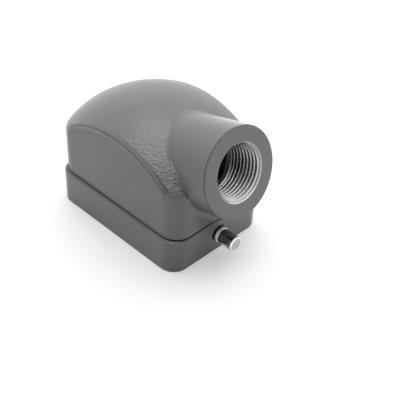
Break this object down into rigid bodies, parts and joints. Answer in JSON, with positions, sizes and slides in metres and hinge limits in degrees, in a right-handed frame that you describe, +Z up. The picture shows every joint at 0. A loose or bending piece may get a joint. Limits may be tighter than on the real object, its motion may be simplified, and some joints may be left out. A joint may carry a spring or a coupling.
{
  "type": "heavy duty rectangular connector",
  "caption": "Rectangular power connector: arched die cast hood with an angled threaded cable entry and locking pegs, holding a screw terminal pin insert.",
  "frame": {"origin": "centre of the hood's mating face, which is the lower edge of the skirt, on the hood's symmetry plane", "axes": "+X along the hood towards the cable entry, +Y across it, +Z up from the mating face to the roof"},
  "size_m": [0.0789, 0.043, 0.0516],
  "materials": {
    "powder_coat": "fine textured grey powder coat on a die casting, satin",
    "nickel_steel": "turned steel, nickel plated, bright",
    "zinc_steel": "zinc plated steel",
    "insert_moulding": "glass filled moulding, matte light grey",
    "silver_contact": "silver plated brass"
  },
  "bodies": {
    "root": {"hood_casting": "powder_coat", "locking_peg_entry_end": "nickel_steel", "locking_peg_far_end": "nickel_steel", "insert_body": "insert_moulding", "contact_pin_1": "silver_contact", "contact_pin_2": "silver_contact", "contact_pin_3": "silver_contact", "contact_pin_4": "silver_contact", "contact_pin_5": "silver_contact", "contact_pin_6": "silver_contact", "terminal_screw_1": "zinc_steel", "terminal_screw_2": "zinc_steel", "terminal_screw_3": "zinc_steel", "terminal_screw_4": "zinc_steel", "terminal_screw_5": "zinc_steel", "terminal_screw_6": "zinc_steel", "wire_guard_1": "silver_contact", "wire_guard_2": "silver_contact", "wire_guard_3": "silver_contact", "wire_guard_4": "silver_contact", "wire_guard_5": "silver_contact", "wire_guard_6": "silver_contact", "earth_bracket_entry_end": "zinc_steel", "earth_bracket_far_end": "zinc_steel", "earth_clamp_entry_end": "zinc_steel", "earth_clamp_far_end": "zinc_steel", "earth_screw_entry_end": "zinc_steel", "earth_screw_far_end": "zinc_steel", "insert_screw_1": "zinc_steel", "insert_screw_2": "zinc_steel", "insert_screw_3": "zinc_steel", "insert_screw_4": "zinc_steel", "spring_washers": "zinc_steel"}
  },
  "joints": []
}
